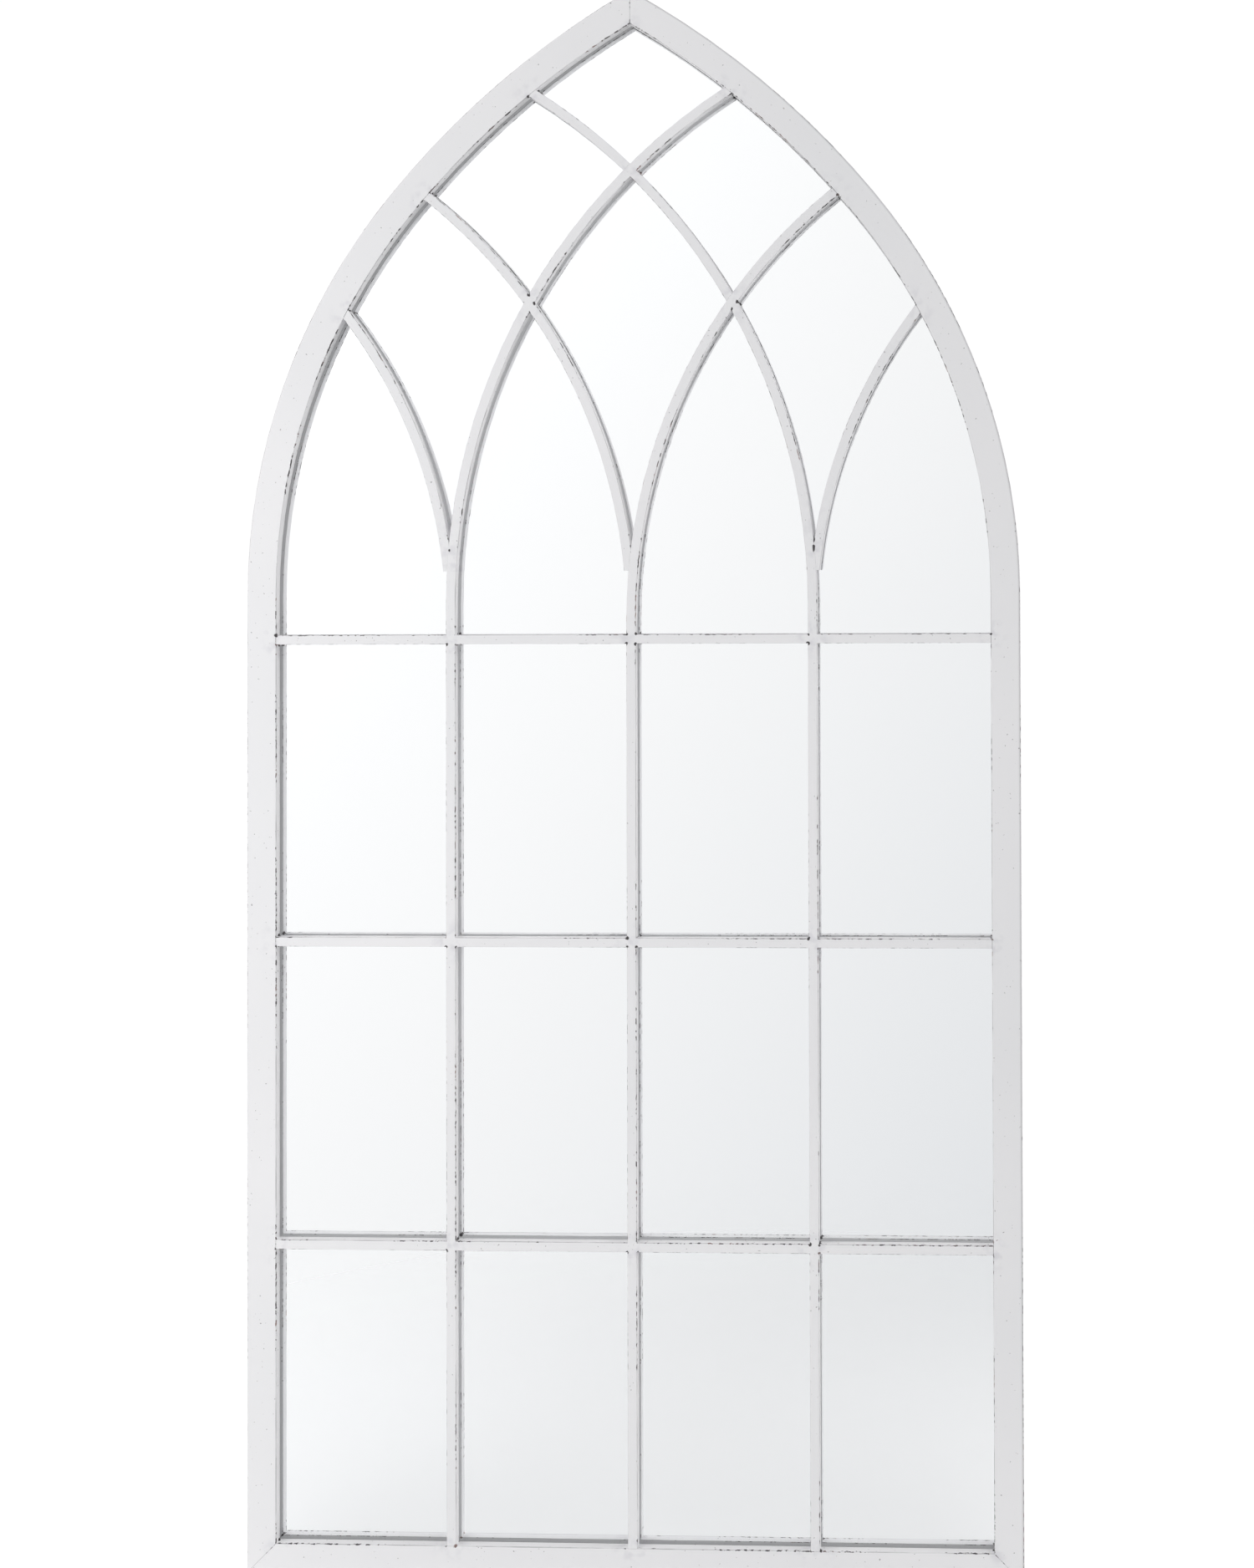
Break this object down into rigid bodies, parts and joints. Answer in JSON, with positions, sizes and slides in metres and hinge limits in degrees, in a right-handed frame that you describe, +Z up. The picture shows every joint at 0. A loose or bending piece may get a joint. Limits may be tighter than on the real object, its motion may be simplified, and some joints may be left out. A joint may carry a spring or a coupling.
{
  "type": "arched window mirror",
  "caption": "Wall mirror shaped like a pointed church window, with white steel glazing bars and intersecting tracery standing in front of mirror glass.",
  "frame": {"origin": "under the middle of the frame, at its bottom edge, halfway through its depth", "axes": "+X to the right seen from the front, +Y towards the wall, +Z up; the mirror faces -Y"},
  "size_m": [0.8, 0.025, 1.6295],
  "materials": {
    "frame_paint": "brushed-on white paint, worn through to dark steel along the edges",
    "bar_paint": "white paint, worn along the edges and at the welds",
    "lip_paint": "white paint, worn at the corners",
    "mirror_silver": "silvered float glass",
    "foam_tape": "matt closed-cell foam",
    "fibreboard": "bare brown fibreboard",
    "tab_steel": "zinc-plated sheet",
    "strap_paint": "white paint"
  },
  "bodies": {
    "root": {"stile_left": "frame_paint", "stile_right": "frame_paint", "bottom_rail": "frame_paint", "rear_lip_left": "lip_paint", "rear_lip_right": "lip_paint", "rear_lip_bottom": "lip_paint", "transom_lower": "bar_paint", "transom_middle": "bar_paint", "transom_upper": "bar_paint", "mullion_left": "bar_paint", "mullion_centre": "bar_paint", "mullion_right": "bar_paint", "tracery_arc_left": "bar_paint", "tracery_arc_centre": "bar_paint", "tracery_arc_right": "bar_paint", "glazing_tape_left": "foam_tape", "glazing_tape_right": "foam_tape", "glazing_tape_bottom": "foam_tape", "mirror_glass": "mirror_silver", "backing_board": "fibreboard", "hanging_strap": "strap_paint", "retaining_tabs": "tab_steel"}
  },
  "joints": []
}
